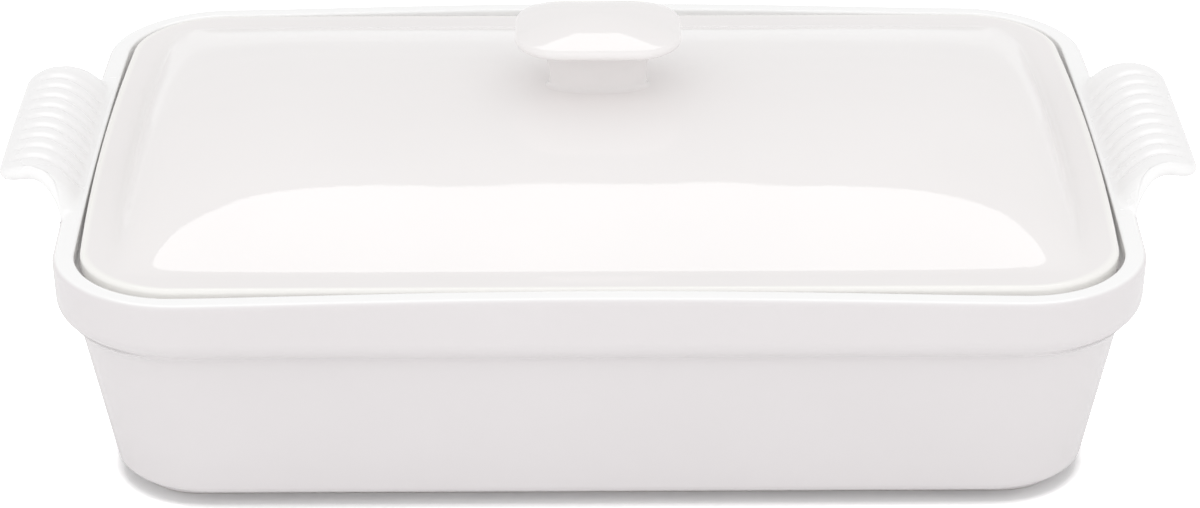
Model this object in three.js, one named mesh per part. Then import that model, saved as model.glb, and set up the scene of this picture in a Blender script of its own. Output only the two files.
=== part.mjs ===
import * as THREE from "three";

// Covered stoneware baking dish: a rectangular dish with two ribbed handles and a domed lid
// with a knob. Millimetres, +Z up, origin on the table under the middle of the foot,
// +X along the length, front towards -Y.

// Rim and collar of the dish
const RIM_LENGTH = 327.6;
const RIM_DEPTH = 227;
const RIM_CORNER_RADIUS = 37;
// The short sides bow out by this much in the middle
const RIM_END_BOW = 2.4;
const RIM_WIDTH = 6.4;
const RIM_OUTER_ROUND = 1.6;
const RIM_INNER_ROUND = 0.8;
// The rim of the long sides stands this much higher in the middle
const RIM_RISE = 2;
const COLLAR_HEIGHT = 16;
const COLLAR_TAPER = 0.6;
const COLLAR_ROUND = 8;
const SHOULDER_HEIGHT = 4.6;
const SHOULDER_STEP = 5.5;
const SHOULDER_ROUND = 8;

// Ledge inside the rim, which carries the lid
const LEDGE_DROP = 5;
const LEDGE_WIDTH = 7.6;
const LEDGE_ROUND = 1.2;

// Wall, floor and foot of the dish
const DISH_HEIGHT = 74.7;
const WALL_DRAFT_DEGREES = 10.6;
const WALL_THICKNESS = 6.8;
const BASE_ROUND = 10;
const FLOOR_THICKNESS = 6.8;
const FLOOR_ROUND = 14;
const FLOOR_CORNER_RADIUS = 20;
const FOOT_HEIGHT = 3.2;
const FOOT_STEP = 8.8;
const FOOT_WIDTH = 9;
const FOOT_RECESS = 1.6;
const FOOT_ROUND = 0.7;
const FOOT_CORNER_RADIUS = 24;

// Handles: curved slabs that arch out from the top of the rim in the middle of the short sides
const HANDLE_REACH = 20.2;
const HANDLE_RISE = 10.7;
const HANDLE_CREST = 10;
const HANDLE_LANDING = 4.6;
const HANDLE_CREST_THICKNESS = 4.5;
const HANDLE_TIP_DROP = 2.1;
const HANDLE_TIP_THICKNESS = 4.3;
const HANDLE_LENGTH = 80.5;
const HANDLE_TIP_RADIUS = 8;
const HANDLE_FLARE = 13.8;
const HANDLE_FALL_POWER = 1.8;
const HANDLE_ROOT_DROP = 5;
const HANDLE_EDGE = 0.9;
const GROOVE_COUNT = 9;
const GROOVE_PITCH = 7.7;
const GROOVE_DEPTH = 0.9;

// Lid, whose short sides bow outwards
const LID_SIDE_CLEARANCE = 2.5;
const LID_END_CLEARANCE = 0.7;
const LID_END_BOW = 4;
const LID_EDGE_HEIGHT = 5.7;
const LID_EDGE_WIDTH = 6.2;
const LID_EDGE_ROUND = 1.4;
const LID_SEAT_ROUND = 1.2;
const LID_BORDER = 9;
const LID_WALL = 5.4;
const DOME_RISE = 19.5;
const DOME_END_POWER = 6;
const DOME_END_SHARE = 0.45;
const DOME_BRINK_POWER = 24;
const DOME_SIDE_POWER = 2;

// Knob: an oval stem that widens into the underside of a crowned cap
const KNOB_HEIGHT = 24.5;
const KNOB_STEM_LENGTH = 30.4;
const KNOB_STEM_DEPTH = 12;
const KNOB_STEM_ROUNDING = 0.88;
const KNOB_STEM_FLARE = 1.3;
const KNOB_STEM_SPREAD = 1.1;
const KNOB_CAP_LENGTH = 51.5;
const KNOB_CAP_DEPTH = 43;
const KNOB_CAP_CORNER = 15;
const KNOB_CAP_CROWN = 4.6;
const KNOB_CAP_EDGE_ROUND = 1.8;
const KNOB_CAP_UNDER_ROUND = 1.6;
const KNOB_CAP_UNDER_RISE = 5;

// Gap at each joint between two pieces of clay, and between the lid and its ledge
const JOINT_GAP = 0.3;

// Fineness of the surfaces
const CORNER_STEPS = 5;
const LONG_SIDE_STEPS = 6;
const SHORT_SIDE_STEPS = 3;
const ARC_STEPS = 3;
const EDGE_STEPS = 2;
const DOME_STEPS = 7;
const ARCH_STEPS = 7;
const HOLLOW_STEPS = 5;
const TIP_STEPS = 4;
const GROOVE_STEPS = 3;

const HALF_LENGTH = RIM_LENGTH / 2 - RIM_END_BOW;
const HALF_DEPTH = RIM_DEPTH / 2;
const RIM_TOP = DISH_HEIGHT;
const LEDGE_TOP = RIM_TOP - LEDGE_DROP;
const LID_HALF_LENGTH = RIM_LENGTH / 2 - RIM_WIDTH - LID_END_CLEARANCE - LID_END_BOW;
const LID_HALF_DEPTH = HALF_DEPTH - RIM_WIDTH - LID_SIDE_CLEARANCE;
const LID_CORNER = RIM_CORNER_RADIUS - RIM_WIDTH - LID_SIDE_CLEARANCE;
const LID_SEAT = LEDGE_TOP + JOINT_GAP;
const LID_EDGE_TOP = LID_SEAT + LID_EDGE_HEIGHT;
const DOME_TOP = LID_EDGE_TOP + DOME_RISE;
const HANDLE_TIP = HANDLE_REACH - HANDLE_TIP_THICKNESS / 2;
const QUARTER_TURN = Math.PI / 2;

/** White glaze, each piece with a material of its own. */
function glaze() {
  return new THREE.MeshStandardMaterial({ color: 0xf3f1ee, roughness: 0.12, metalness: 0 });
}

/**
 * Points of a rounded rectangle, counter-clockwise from above, always as many. Its corners are
 * quarter circles, or quarter ovals where their length is given too.
 */
function outline(halfLength, halfDepth, cornerDepth, cornerLength = cornerDepth) {
  const round = new THREE.Vector2(cornerLength, cornerDepth).min(
    new THREE.Vector2(halfLength, halfDepth),
  );
  const centres = [
    [halfLength - round.x, halfDepth - round.y],
    [round.x - halfLength, halfDepth - round.y],
    [round.x - halfLength, round.y - halfDepth],
    [halfLength - round.x, round.y - halfDepth],
  ];
  const onCorner = (quarter, turned) => {
    const [x, y] = centres[quarter % centres.length];
    const angle = turned * QUARTER_TURN;
    return new THREE.Vector2(x + round.x * Math.cos(angle), y + round.y * Math.sin(angle));
  };
  const points = [];
  centres.forEach((_, quarter) => {
    for (let step = 0; step <= CORNER_STEPS; step += 1) {
      points.push(onCorner(quarter, quarter + step / CORNER_STEPS));
    }
    const sideStart = onCorner(quarter, quarter + 1);
    const sideEnd = onCorner(quarter + 1, quarter + 1);
    const sideSteps = quarter % 2 === 0 ? LONG_SIDE_STEPS : SHORT_SIDE_STEPS;
    for (let step = 1; step < sideSteps; step += 1) {
      points.push(sideStart.clone().lerp(sideEnd, step / sideSteps));
    }
  });
  return points;
}

/** The point of an outline moved out where the short sides of a rectangle of this size bow. */
function bowed({ x, y }, bow, halfLength, halfDepth) {
  const across = 1 - (y / halfDepth) ** 2;
  const share = Math.sign(x) * (x / halfLength) ** 2;
  return new THREE.Vector2(x + bow * across * share, y);
}

/** A closed solid skinned over rings of equally many points, with a flat face on each end. */
function loft(rings, flatten) {
  const count = rings[0].length;
  const positions = rings.flat().flatMap((point) => point.toArray());
  const indices = [];
  for (let ring = 0; ring < rings.length - 1; ring += 1) {
    for (let side = 0; side < count; side += 1) {
      const a = ring * count + side;
      const b = ring * count + ((side + 1) % count);
      indices.push(a, b, b + count, a, b + count, a + count);
    }
  }
  const lastRing = (rings.length - 1) * count;
  THREE.ShapeUtils.triangulateShape(rings[0].map(flatten), []).forEach(([a, b, c]) => {
    indices.push(a, c, b);
  });
  THREE.ShapeUtils.triangulateShape(rings.at(-1).map(flatten), []).forEach(([a, b, c]) => {
    indices.push(lastRing + a, lastRing + b, lastRing + c);
  });
  const geometry = new THREE.BufferGeometry();
  geometry.setAttribute("position", new THREE.Float32BufferAttribute(positions, 3));
  geometry.setIndex(indices);
  geometry.computeVertexNormals();
  return geometry;
}

const seenFromAbove = (point) => new THREE.Vector2(point.x, point.y);
const seenFromEnd = (point) => new THREE.Vector2(point.z, point.x);

/** Replaces each corner that has a round by an arc, limited by the sides that it joins. */
function roundProfile(corners) {
  const place = (corner) => new THREE.Vector2(corner.inset, corner.z);
  return corners.flatMap((corner, index) => {
    if (!corner.round) {
      return [corner];
    }
    const at = place(corner);
    const back = place(corners[index - 1]).sub(at);
    const ahead = place(corners[index + 1]).sub(at);
    const room = Math.min(back.length(), ahead.length()) / 2;
    const half = back.angleTo(ahead) / 2;
    const reach = Math.min(corner.round / Math.tan(half), room);
    const start = at.clone().addScaledVector(back.normalize(), reach);
    const inward = back.clone().add(ahead.normalize()).normalize();
    const centre = at.clone().addScaledVector(inward, reach / Math.cos(half));
    const sweep = Math.sign(back.cross(ahead)) * (2 * half - Math.PI);
    const steps = corner.steps ?? ARC_STEPS;
    return Array.from({ length: steps + 1 }, (_, step) => {
      const point = start.clone().rotateAround(centre, (sweep * step) / steps);
      return { ...corner, inset: point.x, z: point.y };
    });
  });
}

/** How far the rim stands above its ends at this place along the dish and this height. */
function rimRise(x, z) {
  const straight = HALF_LENGTH - RIM_CORNER_RADIUS;
  const along = Math.min(Math.abs(x) / straight, 1);
  const share = THREE.MathUtils.smoothstep(z, LEDGE_TOP, RIM_TOP);
  return RIM_RISE * share * (1 - along ** 2) ** 1.5;
}

/** The dish: foot, drafted wall, collar, rim, ledge for the lid, and the hollow. */
function dishGeometry() {
  const draft = Math.tan(THREE.MathUtils.degToRad(WALL_DRAFT_DEGREES));
  const collarFoot = RIM_TOP - COLLAR_HEIGHT;
  const shoulder = collarFoot - SHOULDER_HEIGHT;
  const wallTop = COLLAR_TAPER + SHOULDER_STEP;
  const wallInset = (z) => wallTop + (shoulder - z) * draft;
  const base = wallInset(FOOT_HEIGHT);
  const footOuter = base + FOOT_STEP;
  const footInner = footOuter + FOOT_WIDTH;
  const ledgeInner = RIM_WIDTH + LEDGE_WIDTH;
  const floor = FOOT_HEIGHT + FLOOR_THICKNESS;
  const floorInset = wallInset(floor) + WALL_THICKNESS;

  const rimCorner = RIM_CORNER_RADIUS;
  const galleryCorner = rimCorner - RIM_WIDTH;
  const ledgeCorner = rimCorner - ledgeInner;
  const shoulderCorner = rimCorner - wallTop / 2;
  const baseCorner = FOOT_CORNER_RADIUS + FOOT_STEP / 2;
  const footCorner = FOOT_CORNER_RADIUS;
  const recessCorner = FOOT_CORNER_RADIUS - FOOT_WIDTH;
  const steps = EDGE_STEPS;
  const profile = roundProfile([
    { inset: footInner + FOOT_WIDTH, z: FOOT_RECESS, corner: recessCorner },
    { inset: footInner, z: FOOT_RECESS, corner: recessCorner, round: FOOT_ROUND, steps },
    { inset: footInner, z: 0, corner: recessCorner, round: FOOT_ROUND, steps },
    { inset: footOuter, z: 0, corner: footCorner, round: FOOT_ROUND, steps },
    { inset: footOuter, z: FOOT_HEIGHT, corner: footCorner, round: FOOT_ROUND, steps },
    { inset: base, z: FOOT_HEIGHT, corner: baseCorner, round: BASE_ROUND },
    { inset: wallTop, z: shoulder, corner: shoulderCorner, round: SHOULDER_ROUND, steps },
    { inset: COLLAR_TAPER, z: collarFoot, corner: rimCorner, round: COLLAR_ROUND },
    { inset: 0, z: RIM_TOP, corner: rimCorner, round: RIM_OUTER_ROUND },
    { inset: RIM_WIDTH, z: RIM_TOP, corner: galleryCorner, round: RIM_INNER_ROUND, steps },
    { inset: RIM_WIDTH, z: LEDGE_TOP, corner: galleryCorner, round: LEDGE_ROUND, steps },
    { inset: ledgeInner, z: LEDGE_TOP, corner: ledgeCorner, round: LEDGE_ROUND, steps },
    { inset: floorInset, z: floor, corner: FLOOR_CORNER_RADIUS, round: FLOOR_ROUND },
    { inset: floorInset + 2 * FLOOR_ROUND, z: floor, corner: FLOOR_CORNER_RADIUS },
  ]);
  const rings = profile.map(({ inset, z, corner }) =>
    outline(HALF_LENGTH - inset, HALF_DEPTH - inset, corner).map((point) => {
      const { x, y } = bowed(point, RIM_END_BOW, HALF_LENGTH, HALF_DEPTH);
      return new THREE.Vector3(x, y, z + rimRise(point.x, z));
    }),
  );
  return loft(rings, seenFromAbove);
}

/** Places along the handle, front to back: finely over the grooves, tip corners and flares. */
function handleStations() {
  const half = HANDLE_LENGTH / 2;
  const grooved = (GROOVE_COUNT * GROOVE_PITCH) / 2;
  const flareSteps = 2 * ARC_STEPS;
  const back = [];
  for (let step = 1; step <= ARC_STEPS; step += 1) {
    const angle = (step / ARC_STEPS) * QUARTER_TURN;
    back.push(half - HANDLE_TIP_RADIUS * (1 - Math.sin(angle)));
  }
  for (let step = 1; step <= flareSteps; step += 1) {
    const angle = (step / flareSteps) * QUARTER_TURN;
    back.push(half + HANDLE_FLARE * (1 - Math.cos(angle)));
  }
  const grooveSteps = GROOVE_COUNT * GROOVE_STEPS;
  const ends = back.filter((y) => y > grooved + GROOVE_PITCH / GROOVE_STEPS / 2);
  const middle = Array.from(
    { length: grooveSteps + 1 },
    (_, step) => (step / grooveSteps) * 2 * grooved - grooved,
  );
  return [...ends.map((y) => -y).reverse(), ...middle, ...ends];
}

/** How far the handle's edge lies out from the rim's face, at a distance from its middle. */
function handleEdge(distance) {
  const half = HANDLE_LENGTH / 2;
  const neck = HANDLE_REACH - HANDLE_TIP_RADIUS;
  if (distance > half) {
    const along = Math.min((distance - half) / HANDLE_FLARE, 1);
    return neck * (1 - Math.sqrt(along * (2 - along)));
  }
  const past = Math.max(distance - half + HANDLE_TIP_RADIUS, 0) / HANDLE_TIP_RADIUS;
  return neck + HANDLE_TIP_RADIUS * Math.sqrt(1 - past ** 2);
}

/** Height of the arch's ridge line above the rim, at a distance out from the rim's face. */
function archHeight(out) {
  if (out < HANDLE_CREST) {
    const short = (HANDLE_CREST - out) / (HANDLE_CREST + HANDLE_LANDING);
    return HANDLE_RISE * (1 - short ** 2);
  }
  const past = (out - HANDLE_CREST) / (HANDLE_TIP - HANDLE_CREST);
  return HANDLE_RISE - HANDLE_TIP_DROP * past ** 2;
}

/** Height of the hollow under the arch, at a distance out from the rim's face. */
function hollowHeight(out) {
  const crest = HANDLE_RISE - HANDLE_CREST_THICKNESS;
  const tip = HANDLE_RISE - HANDLE_TIP_DROP - HANDLE_TIP_THICKNESS;
  if (out < HANDLE_CREST) {
    const short = (HANDLE_CREST - out) / (HANDLE_CREST - JOINT_GAP);
    return (crest + HANDLE_ROOT_DROP) * Math.sqrt(1 - short ** 2) - HANDLE_ROOT_DROP;
  }
  const past = (out - HANDLE_CREST) / (HANDLE_TIP - HANDLE_CREST);
  return crest - (crest - tip) * past ** 2;
}

/**
 * Section of a handle as distances out from the rim's face and up from the rim's top. It runs
 * over the arch, round the tip, back along the hollow underneath and up over the rim.
 */
function handleSection(y) {
  const distance = Math.abs(y);
  const half = HANDLE_LENGTH / 2;
  const seat = JOINT_GAP;
  const skin = seat + HANDLE_EDGE;
  const past = THREE.MathUtils.clamp((distance - half) / HANDLE_FLARE, 0, 1);
  const rise = 1 - past ** HANDLE_FALL_POWER;
  const edge = Math.max(handleEdge(distance), skin);
  const tipRadius = Math.min(HANDLE_TIP_THICKNESS, edge - seat) / 2;
  const tip = edge - tipRadius;
  const wave = (1 + Math.cos(2 * Math.PI * (y / GROOVE_PITCH))) / 2;
  const groove = distance < (GROOVE_COUNT * GROOVE_PITCH) / 2 ? GROOVE_DEPTH * wave : 0;

  const points = [];
  for (let step = 0; step <= ARCH_STEPS; step += 1) {
    const out = (tip + HANDLE_LANDING) * (step / ARCH_STEPS) - HANDLE_LANDING;
    const cut = step > 0 && step < ARCH_STEPS ? groove : 0;
    points.push(new THREE.Vector2(out, Math.max(archHeight(out) * rise - cut, skin)));
  }
  const tipTop = points.at(-1).y;
  const tipMiddle = (tipTop + hollowHeight(tip)) / 2;
  for (let step = 1; step < TIP_STEPS; step += 1) {
    const angle = (1 - (2 * step) / TIP_STEPS) * QUARTER_TURN;
    const up = tipMiddle + (tipTop - tipMiddle) * Math.sin(angle);
    points.push(new THREE.Vector2(tip + tipRadius * Math.cos(angle), up));
  }
  for (let step = HOLLOW_STEPS; step >= 0; step -= 1) {
    const angle = (step / HOLLOW_STEPS) * QUARTER_TURN;
    const out = tip - (tip - seat) * Math.cos(angle);
    points.push(new THREE.Vector2(out, hollowHeight(out)));
  }
  for (let step = 0; step <= EDGE_STEPS; step += 1) {
    const angle = (step / EDGE_STEPS) * QUARTER_TURN;
    const radius = RIM_OUTER_ROUND + seat;
    const onRim = new THREE.Vector2(radius * Math.cos(angle), radius * Math.sin(angle));
    points.push(onRim.subScalar(RIM_OUTER_ROUND));
  }
  points.push(new THREE.Vector2(-HANDLE_LANDING, seat));
  return points;
}

/** Distance of the rim's face from the middle of the dish, at a distance y from its long axis. */
function rimFace(y) {
  const past = Math.max(Math.abs(y) - (HALF_DEPTH - RIM_CORNER_RADIUS), 0);
  const round = Math.sqrt(RIM_CORNER_RADIUS ** 2 - past ** 2);
  const face = new THREE.Vector2(HALF_LENGTH - RIM_CORNER_RADIUS + round, y);
  return bowed(face, RIM_END_BOW, HALF_LENGTH, HALF_DEPTH).x;
}

/** The handle of the right end, seated on the rim. */
function handleGeometry() {
  const rings = handleStations().map((y) =>
    handleSection(y).map((point) => new THREE.Vector3(rimFace(y) + point.x, y, RIM_TOP + point.y)),
  );
  return loft(rings, seenFromEnd);
}

/** Height of the lid's top. The dome falls late to the ends, and a flat border lies around it. */
function domeHeight(x, y) {
  const reach = LID_HALF_LENGTH - LID_EDGE_ROUND - LID_BORDER;
  const depth = LID_HALF_DEPTH - LID_EDGE_ROUND - LID_BORDER;
  const along = Math.min(Math.abs(x) / reach, 1);
  const fall = [along ** DOME_BRINK_POWER, along ** DOME_END_POWER];
  const end = 1 - THREE.MathUtils.lerp(fall[0], fall[1], DOME_END_SHARE);
  const side = 1 - Math.min(Math.abs(y) / depth, 1) ** DOME_SIDE_POWER;
  return LID_EDGE_TOP + DOME_RISE * end * side;
}

/** The lid's outline at a share of its size, this far inside it, with its ends bowed out. */
function lidRing(inset, share, height) {
  const halfLength = (LID_HALF_LENGTH - inset) * share;
  const halfDepth = (LID_HALF_DEPTH - inset) * share;
  return outline(halfLength, halfDepth, (LID_CORNER - inset) * share).map((point) => {
    const { x, y } = bowed(point, LID_END_BOW, LID_HALF_LENGTH, LID_HALF_DEPTH);
    return new THREE.Vector3(x, y, height(point.x, point.y));
  });
}

/** Rings from the edge of the dome to the pad under the knob, this far below its top surface. */
function domeRings(inset, depthBelow) {
  const padShare = (KNOB_STEM_DEPTH / 2 + KNOB_STEM_FLARE) / (LID_HALF_DEPTH - inset);
  const shares = Array.from({ length: DOME_STEPS }, (_, step) =>
    Math.cos((step / DOME_STEPS) * QUARTER_TURN),
  );
  return [...shares, padShare].map((share) =>
    lidRing(inset, share, (x, y) => domeHeight(x, y) - depthBelow),
  );
}

/** The lid: a dome with a border and a rolled edge, hollow underneath, on the ledge. */
function lidGeometry() {
  const steps = EDGE_STEPS;
  const edge = roundProfile([
    { inset: LID_EDGE_WIDTH, z: LID_SEAT },
    { inset: 0, z: LID_SEAT, round: LID_SEAT_ROUND, steps },
    { inset: 0, z: LID_EDGE_TOP, round: LID_EDGE_ROUND },
    { inset: 2 * LID_EDGE_ROUND, z: LID_EDGE_TOP },
  ]).slice(0, -1);
  const edgeRings = edge.map(({ inset, z }) => lidRing(inset, 1, () => z));
  const hollow = domeRings(LID_EDGE_WIDTH, LID_WALL).reverse();
  const top = domeRings(LID_EDGE_ROUND + LID_BORDER, 0);
  return loft([...hollow, ...edgeRings, ...top], seenFromAbove);
}

/** The knob: an oval stem that carries a wide crowned cap, over the middle of the dome. */
function knobGeometry() {
  const base = DOME_TOP + JOINT_GAP;
  const top = DOME_TOP + KNOB_HEIGHT;
  const halfLength = KNOB_CAP_LENGTH / 2;
  const halfDepth = KNOB_CAP_DEPTH / 2;
  const stemLength = KNOB_STEM_LENGTH / 2;
  const stemDepth = KNOB_STEM_DEPTH / 2;
  const crownFoot = top - KNOB_CAP_CROWN;
  const edgeSweep = QUARTER_TURN - Math.atan2(2 * KNOB_CAP_CROWN, halfDepth);
  const widest = crownFoot - KNOB_CAP_EDGE_ROUND * Math.sin(edgeSweep);
  const under = widest - KNOB_CAP_UNDER_ROUND;

  const level = (points, z) => points.map(({ x, y }) => new THREE.Vector3(x, y, z));
  const capRing = (inset, share, z) => {
    const corner = (KNOB_CAP_CORNER - inset) * share;
    return level(outline((halfLength - inset) * share, (halfDepth - inset) * share, corner), z);
  };
  // The share is 0 at the stem and 1 where the cap's underside turns up
  const stemRing = (share, z) => {
    const inset = KNOB_CAP_UNDER_ROUND;
    const grow = (from, to) => THREE.MathUtils.lerp(from, to, share);
    const length = grow(stemLength, halfLength - inset);
    const depth = grow(stemDepth, halfDepth - inset);
    const cornerLength = grow(stemLength * KNOB_STEM_ROUNDING, KNOB_CAP_CORNER - inset);
    const cornerDepth = grow(stemDepth * KNOB_STEM_ROUNDING, KNOB_CAP_CORNER - inset);
    return level(outline(length, depth, cornerDepth, cornerLength), z);
  };

  const overhang = halfLength - KNOB_CAP_UNDER_ROUND - stemLength;
  const flare = KNOB_STEM_FLARE / overhang;
  const spread = KNOB_STEM_SPREAD / overhang;
  const rings = [stemRing(flare, base), stemRing(flare / 4, base + KNOB_STEM_FLARE / 2)];
  rings.push(stemRing(0, base + 2 * KNOB_STEM_FLARE));
  for (let step = 0; step <= ARC_STEPS; step += 1) {
    const angle = (step / ARC_STEPS) * QUARTER_TURN;
    const share = spread + (1 - spread) * (1 - Math.cos(angle));
    rings.push(stemRing(share, under - KNOB_CAP_UNDER_RISE * (1 - Math.sin(angle))));
  }
  for (let step = 1; step <= ARC_STEPS; step += 1) {
    const angle = (step / ARC_STEPS) * QUARTER_TURN;
    const inset = KNOB_CAP_UNDER_ROUND * (1 - Math.sin(angle));
    rings.push(capRing(inset, 1, widest - KNOB_CAP_UNDER_ROUND * Math.cos(angle)));
  }
  for (let step = 1; step <= ARC_STEPS; step += 1) {
    const angle = (step / ARC_STEPS) * edgeSweep;
    const inset = KNOB_CAP_EDGE_ROUND * (1 - Math.cos(angle));
    rings.push(capRing(inset, 1, widest + KNOB_CAP_EDGE_ROUND * Math.sin(angle)));
  }
  const crownInset = KNOB_CAP_EDGE_ROUND * (1 - Math.cos(edgeSweep));
  for (let step = ARC_STEPS; step > 0; step -= 1) {
    const share = step / (ARC_STEPS + 1);
    rings.push(capRing(crownInset, share, crownFoot + KNOB_CAP_CROWN * (1 - share ** 2)));
  }
  rings.push(capRing(crownInset, 1 / (4 * ARC_STEPS), top));
  return loft(rings, seenFromAbove);
}

const casserole = new THREE.Group();

/** Adds a glazed piece under its name. */
function addPiece(name, geometry, parent) {
  const piece = new THREE.Mesh(geometry, glaze());
  piece.name = name;
  parent.add(piece);
  return piece;
}

const dish = new THREE.Group();
casserole.add(dish);
addPiece("dish_body", dishGeometry(), dish);
addPiece("right_handle", handleGeometry(), dish);
addPiece("left_handle", handleGeometry(), dish).rotation.z = Math.PI;

const lid = new THREE.Group();
casserole.add(lid);
addPiece("lid_shell", lidGeometry(), lid);
addPiece("lid_knob", knobGeometry(), lid);

export default casserole;
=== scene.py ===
"""Dressed model of a covered stoneware casserole dish: body, two handles, lid and knob.

The shapes are worked out in millimetres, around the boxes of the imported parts, and placed in
metres. +Z is up, the front faces -Y and the origin lies on the table under the foot.
"""

from __future__ import annotations

import logging
import math
from collections.abc import Callable, Iterable, Sequence
from dataclasses import dataclass, field, replace
from enum import Enum

import bmesh
import bpy
from mathutils import Matrix, Vector


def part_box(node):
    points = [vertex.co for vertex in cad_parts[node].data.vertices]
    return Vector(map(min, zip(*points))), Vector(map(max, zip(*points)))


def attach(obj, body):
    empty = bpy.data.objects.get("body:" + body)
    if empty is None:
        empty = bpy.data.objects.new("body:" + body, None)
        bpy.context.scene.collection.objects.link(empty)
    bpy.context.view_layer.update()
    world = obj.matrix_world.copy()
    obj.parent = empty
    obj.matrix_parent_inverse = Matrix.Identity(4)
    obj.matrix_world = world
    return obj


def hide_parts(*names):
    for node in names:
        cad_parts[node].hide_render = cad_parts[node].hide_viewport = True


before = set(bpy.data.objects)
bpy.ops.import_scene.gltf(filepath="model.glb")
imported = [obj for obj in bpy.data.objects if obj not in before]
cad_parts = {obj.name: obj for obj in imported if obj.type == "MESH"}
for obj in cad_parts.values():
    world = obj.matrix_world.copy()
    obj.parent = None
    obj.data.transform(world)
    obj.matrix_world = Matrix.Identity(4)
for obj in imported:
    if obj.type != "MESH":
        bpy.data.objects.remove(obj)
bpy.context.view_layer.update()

MM = 0.001
QUARTER_TURN = math.pi / 2
# Point attribute for painted light: a whiter glaze colour for the light on the rim, the handles and
# the lid's rolled edge.
PAINTED_LIGHT = "painted_light"
# Sockets of the Mix node that carry colours.
MIX_FIRST = 6
MIX_SECOND = 7
MIX_RESULT = 2
LOG = logging.getLogger("casserole")

Colour = tuple[float, float, float]
Socket = bpy.types.NodeSocket
Vert = bmesh.types.BMVert


class Body(Enum):
    """The two loose things that the pieces ride on."""

    DISH = "dish"
    LID = "lid"


class Slot(Enum):
    """The record's material slots."""

    DISH_GLAZE = "dish_glaze"
    LID_GLAZE = "lid_glaze"


def smoothstep(value: float, start: float, end: float) -> float:
    """Eases from 0 to 1 between two values.

    Args:
        value: Where on the ease.
        start: Value at which the ease leaves 0.
        end: Value at which the ease reaches 1.

    Returns:
        The eased share.
    """
    share = min(max((value - start) / (end - start), 0.0), 1.0)
    return share * share * (3.0 - 2.0 * share)


def mix(first: float, second: float, share: float) -> float:
    """The value at this share of the way from the first to the second."""
    return first + (second - first) * share


def quarter_angles(steps: int, first: int = 0) -> list[float]:
    """Angles over a quarter turn in even steps, from this step on."""
    return [step / steps * QUARTER_TURN for step in range(first, steps + 1)]


def cad_box(node: str) -> tuple[Vector, Vector]:
    """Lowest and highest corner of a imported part, in millimetres."""
    low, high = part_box(node)
    return low / MM, high / MM


class NodeBench:
    """Lays out the nodes of one material."""

    def __init__(self, name: str) -> None:
        """Starts a material with a Principled shader, under this name."""
        self.material = bpy.data.materials.new(name)
        self.material.use_nodes = True
        self.tree = self.material.node_tree
        self.shader = self.tree.nodes["Principled BSDF"]

    def add(self, kind: str, **settings: object) -> bpy.types.Node:
        """Adds a node.

        Args:
            kind: Blender's type name of the node.
            **settings: Properties of the node.

        Returns:
            The new node.
        """
        node = self.tree.nodes.new(kind)
        for name, value in settings.items():
            setattr(node, name, value)
        return node

    def link(self, source: Socket, target: Socket) -> None:
        """Joins an output to an input."""
        self.tree.links.new(source, target)

    def noise(self, coordinate: Socket, scale: float, detail: float) -> bpy.types.Node:
        """Adds a noise pattern.

        Args:
            coordinate: Place on the piece.
            scale: Waves for each metre.
            detail: Octaves of finer noise.

        Returns:
            The noise node.
        """
        node = self.add("ShaderNodeTexNoise")
        node.inputs["Scale"].default_value = scale
        node.inputs["Detail"].default_value = detail
        self.link(coordinate, node.inputs["Vector"])
        return node

    def spread(self, source: Socket, span: Sequence[float]) -> Socket:
        """Maps a pattern onto a range.

        Args:
            source: Pattern.
            span: Lowest and highest value of the pattern, then of the result.

        Returns:
            The mapped output.
        """
        node = self.add("ShaderNodeMapRange")
        for name, value in zip(("From Min", "From Max", "To Min", "To Max"), span):
            node.inputs[name].default_value = value
        self.link(source, node.inputs["Value"])
        return node.outputs["Result"]

    def blend(self, share: Socket, first: Colour | Socket, second: Colour) -> Socket:
        """Mixes two colours.

        Args:
            share: Pattern that picks the second colour.
            first: Colour, or output, where the pattern is 0.
            second: Colour where the pattern is 1.

        Returns:
            The mixed colour.
        """
        node = self.add("ShaderNodeMix", data_type="RGBA")
        self.link(share, node.inputs["Factor"])
        if isinstance(first, Socket):
            self.link(first, node.inputs[MIX_FIRST])
        else:
            node.inputs[MIX_FIRST].default_value = (*first, 1.0)
        node.inputs[MIX_SECOND].default_value = (*second, 1.0)
        return node.outputs[MIX_RESULT]

    def bump(self, height: Socket, distance: float, below: Socket | None) -> Socket:
        """Adds a bump.

        Args:
            height: Pattern of the bump.
            distance: Height of the bump in metres.
            below: Normal of the bump under this one, if there is one.

        Returns:
            The bent normal.
        """
        node = self.add("ShaderNodeBump")
        node.inputs["Strength"].default_value = 1.0
        node.inputs["Distance"].default_value = distance
        self.link(height, node.inputs["Height"])
        if below is not None:
            self.link(below, node.inputs["Normal"])
        return node.outputs["Normal"]


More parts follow.
